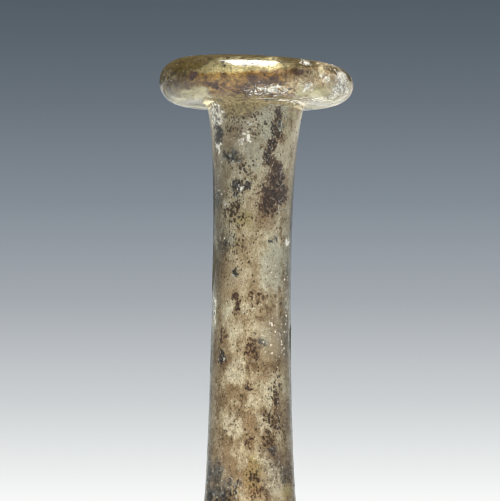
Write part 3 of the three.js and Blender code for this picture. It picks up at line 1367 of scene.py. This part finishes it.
@dataclass
class Litter:
    """Small bits strewn over the outside of the glass, thick where their stains are.

    flatness: A bit's thickness as a share of its length.
    tilt: How far it leans at most, in radians.
    raggedness: How far noise moves its corners, as a share of the largest size.
    """

    name: str
    tone: Tone
    finish: bpy.types.Material
    per_area: float
    least_size: float
    most_size: float
    flatness: float
    tilt: float
    seed: int
    raggedness: float = 0.5
    ragged_size: float = 0.25

    def build(self, vessel: bpy.types.Object) -> bpy.types.Object:
        """Strews the bits.

        Args:
            vessel: The piece that they lie on.

        Returns:
            The dressed piece.
        """
        recipe = Recipe(self.name)
        density = recipe.size("Bits per Area", self.per_area)
        least, most = recipe.size("Least Size", self.least_size), recipe.size("Most Size", self.most_size)
        points = recipe.add(
            "GeometryNodeDistributePointsOnFaces",
            sockets={
                "Mesh": recipe.given(),
                "Density": recipe.carried(self.tone.value) * density,
                "Seed": self.seed,
            },
        )
        lean_one = recipe.chance(-self.tilt, self.tilt, self.seed + 1)
        lean_other = recipe.chance(-self.tilt, self.tilt, self.seed + 2)
        turn = recipe.chance(0, math.tau, self.seed + 3)
        spin = recipe.add(
            "FunctionNodeEulerToRotation", sockets={0: recipe.vector(lean_one, lean_other, turn)}
        )
        facing = recipe.add(
            "FunctionNodeRotateRotation",
            {"rotation_space": "LOCAL"},
            {"Rotation": points.other("Rotation"), "Rotate By": spin},
        )
        bit = recipe.add("GeometryNodeMeshIcoSphere", sockets={"Radius": 1.0, "Subdivisions": 1})
        share = recipe.chance(0, 1, self.seed + 4) ** 2
        size = least + (most - least) * share
        scale = recipe.vector(size, size * recipe.chance(0.5, 1, self.seed + 5), size * self.flatness)
        bits = recipe.add(
            "GeometryNodeInstanceOnPoints",
            sockets={"Points": points, "Instance": bit, "Rotation": facing, "Scale": scale},
        )
        bits = recipe.store(bits, "shade", recipe.chance(0, 1, self.seed + 6), "INSTANCE")
        loose = recipe.add("GeometryNodeRealizeInstances", sockets={"Geometry": bits})
        spot = recipe.in_mm(recipe.add("GeometryNodeInputPosition"))
        push = recipe.add(
            "ShaderNodeVectorMath",
            {"operation": "SUBTRACT"},
            {0: recipe.noise(spot, self.ragged_size, 1, output=1), 1: (0.5, 0.5, 0.5)},
        )
        offset = recipe.stretch(push, (self.most_size * self.raggedness,) * 3)
        ragged = recipe.add("GeometryNodeSetPosition", sockets={"Geometry": loose, "Offset": offset})
        return recipe.make(self.name, vessel.data, ragged, [(self.finish, True)])


@dataclass(frozen=True)
class SoftLight:
    """A softbox that the camera doesn't see."""

    name: str
    place: Triple
    aim: Triple
    width: float
    height: float
    power: float
    colour: Triple = (1.0, 1.0, 1.0)

    def hang(self) -> None:
        """Adds the light to the scene."""
        lamp = bpy.data.lights.new(self.name, "AREA")
        lamp.shape = "RECTANGLE"
        lamp.size = self.width
        lamp.size_y = self.height
        lamp.energy = self.power
        lamp.color = self.colour
        light = bpy.data.objects.new(self.name, lamp)
        light.location = self.place
        light.rotation_euler = (Vector(self.aim) - Vector(self.place)).to_track_quat("-Z", "Y").to_euler()
        light.visible_camera = False
        bpy.context.scene.collection.objects.link(light)


# The background's colour at each angle above the horizon, in degrees
SKY: Stops = stops(
    (-0.44, 248, 249, 248), (1.06, 204, 208, 210), (2.57, 164, 169, 175), (4.07, 131, 140, 149),
    (5.57, 105, 114, 123), (6.46, 91, 101, 110), (7.05, 84, 94, 103),
)

# Each light's place, what it aims at, its width and height, its power and its colour
LIGHTS = (
    SoftLight("overhead_box", (-0.03, -0.16, 1.04), (-0.03, -0.159, 0.0), 0.56, 0.62, 19.0),
    SoftLight("front_edge", (-0.03, -0.545, 0.975), (0.0, 0.0, 0.135), 0.56, 0.24, 2.8, (1.0, 0.94, 0.82)),
    SoftLight("front_fill", (0.30, -0.95, 0.62), (0.0, 0.0, 0.1), 0.6, 0.5, 1.4, (1.0, 0.98, 0.94)),
    SoftLight("right_glint", (0.8, -0.12, 0.12), (0.0, 0.0, 0.09), 0.05, 0.03, 0.03),
)


@dataclass
class Studio:
    """The floor, the graded background, the soft lights and the camera."""

    target: Triple = (0.0, 0.0, 0.102)
    viewpoint: Triple = (0.0, -0.760, 0.058)
    field_width: float = 0.1
    sensor_width: float = 36.0
    clip_start: float = 0.01
    floor_radius: float = 2.0
    floor_cloud_size: float = 400.0
    lights: tuple[SoftLight, ...] = LIGHTS

    def build(self) -> None:
        """Sets up everything around the vessel."""
        self.lay_floor()
        self.paint_sky()
        for light in self.lights:
            light.hang()
        self.set_camera()
        self.set_view()

    def lay_floor(self) -> None:
        """Lays a pale round floor."""
        bpy.ops.mesh.primitive_circle_add(vertices=96, radius=self.floor_radius, fill_type="NGON")
        floor = bpy.context.object
        floor.name = "floor"
        board = Dressing("pale_floor")
        cloud = board.noise(board.place(), self.floor_cloud_size, 2)
        colour = board.blend(cloud, paint(226, 226, 222), paint(236, 236, 232))
        floor.data.materials.append(board.finish(board.matter(colour, 0.9)))

    def paint_sky(self) -> None:
        """Grades the background from white at the horizon to blue grey above."""
        world = bpy.data.worlds.new("graded_background")
        bpy.context.scene.world = world
        world.use_nodes = True
        world.node_tree.nodes.clear()
        board = Board(world.node_tree)
        rise = board.part(board.add("ShaderNodeTexCoord", output="Generated"), "Z")
        rises = [math.sin(math.radians(angle)) for angle, _ in SKY]
        low, high = rises[0], rises[-1]
        grades = tuple(((end - low) / (high - low), colour) for end, (_, colour) in zip(rises, SKY))
        sky = board.ramp((rise - low) / (high - low), grades)
        light = board.add("ShaderNodeBackground", sockets={"Color": sky})
        board.add("ShaderNodeOutputWorld", sockets={"Surface": light})

    def set_camera(self) -> None:
        """Places the camera a little below the rim, looking slightly up."""
        lens = bpy.data.cameras.new("camera")
        place, target = Vector(self.viewpoint), Vector(self.target)
        lens.sensor_width = self.sensor_width
        lens.sensor_fit = "HORIZONTAL"
        lens.lens = self.sensor_width * (target - place).length / self.field_width
        lens.clip_start = self.clip_start
        camera = bpy.data.objects.new("camera", lens)
        camera.location = place
        camera.rotation_euler = (target - place).to_track_quat("-Z", "Y").to_euler()
        bpy.context.scene.collection.objects.link(camera)
        bpy.context.scene.camera = camera

    def set_view(self) -> None:
        """Keeps the colours as they are and lets light go through many walls of glass."""
        scene = bpy.context.scene
        scene.view_settings.view_transform = "Standard"
        scene.view_settings.look = "None"
        scene.cycles.max_bounces = 20
        scene.cycles.transmission_bounces = 16
        scene.cycles.transparent_max_bounces = 16
        scene.cycles.sample_clamp_indirect = 6
        scene.cycles.blur_glossy = 0.5
        scene.cycles.use_denoising = True
        scene.cycles.filter_width = 1.0


def settle(piece: bpy.types.Object) -> None:
    """Makes a piece ride on the model's body and reports it."""
    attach(piece, "root")
    log.info("%s: %d faces", piece.name, len(piece.data.polygons))


def main() -> None:
    """Builds the vessel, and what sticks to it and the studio."""
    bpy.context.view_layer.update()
    sizes = VesselSizes()
    vessel = GlassVessel(sizes).build()
    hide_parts(NODE)
    settle(vessel)
    settle(FoldEarth(sizes).build())
    flakes = Litter(
        "skin_flakes",
        Tone.FLAKES,
        FlakeFinish().material(),
        per_area=14e6,
        least_size=0.04 * MM,
        most_size=0.18 * MM,
        flatness=0.4,
        tilt=0.6,
        seed=11,
    )
    settle(flakes.build(vessel))
    grains = Litter(
        "earth_grains",
        Tone.SPECKS,
        GrainFinish().material(),
        per_area=3e6,
        least_size=0.04 * MM,
        most_size=0.17 * MM,
        flatness=0.6,
        tilt=0.4,
        seed=47,
    )
    settle(grains.build(vessel))
    Studio().build()


if __name__ == "__main__":
    logging.basicConfig(level=logging.INFO, format="%(message)s")
    main()
